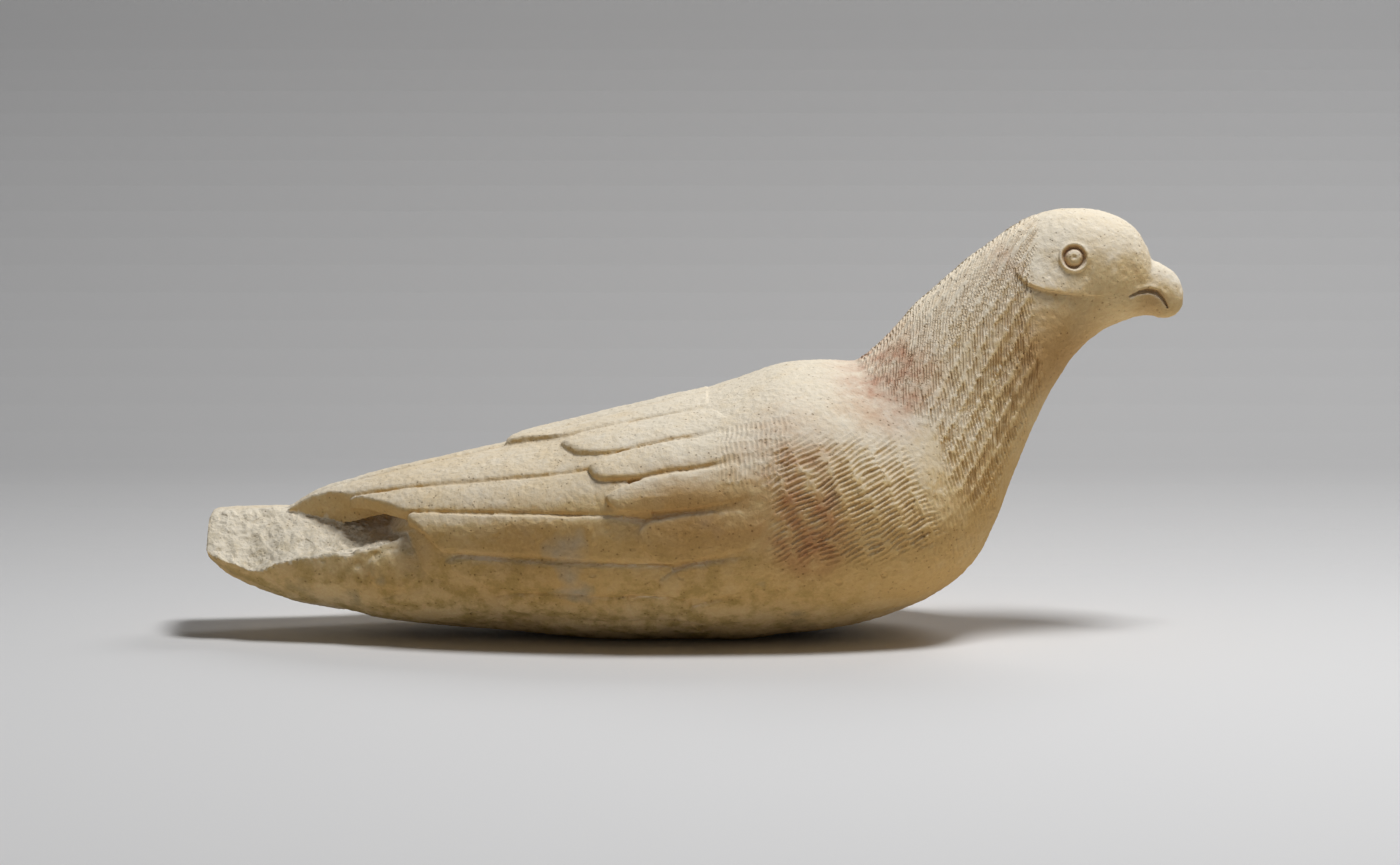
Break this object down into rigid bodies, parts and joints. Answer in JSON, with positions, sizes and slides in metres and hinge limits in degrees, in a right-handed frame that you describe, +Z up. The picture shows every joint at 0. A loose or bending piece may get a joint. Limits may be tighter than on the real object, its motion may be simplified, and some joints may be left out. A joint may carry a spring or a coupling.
{
  "type": "limestone bird statuette",
  "caption": "Life-size resting dove carved from one block of limestone, with folded wings, a chiselled neck and shoulders, and a tail broken off along its upper right side.",
  "frame": {"origin": "under the middle of the bird's overall box, on the surface that it rests on", "axes": "+X towards the beak along the bird's length, +Y towards the bird's left side, +Z up"},
  "size_m": [0.34, 0.1176, 0.1489],
  "materials": {
    "limestone": "matte warm cream limestone, finely pecked and chiselled, worn smooth below, with faint red, yellow and grey stains and a paler broken face on the tail"
  },
  "bodies": {
    "root": {"bird": "limestone"}
  },
  "joints": []
}
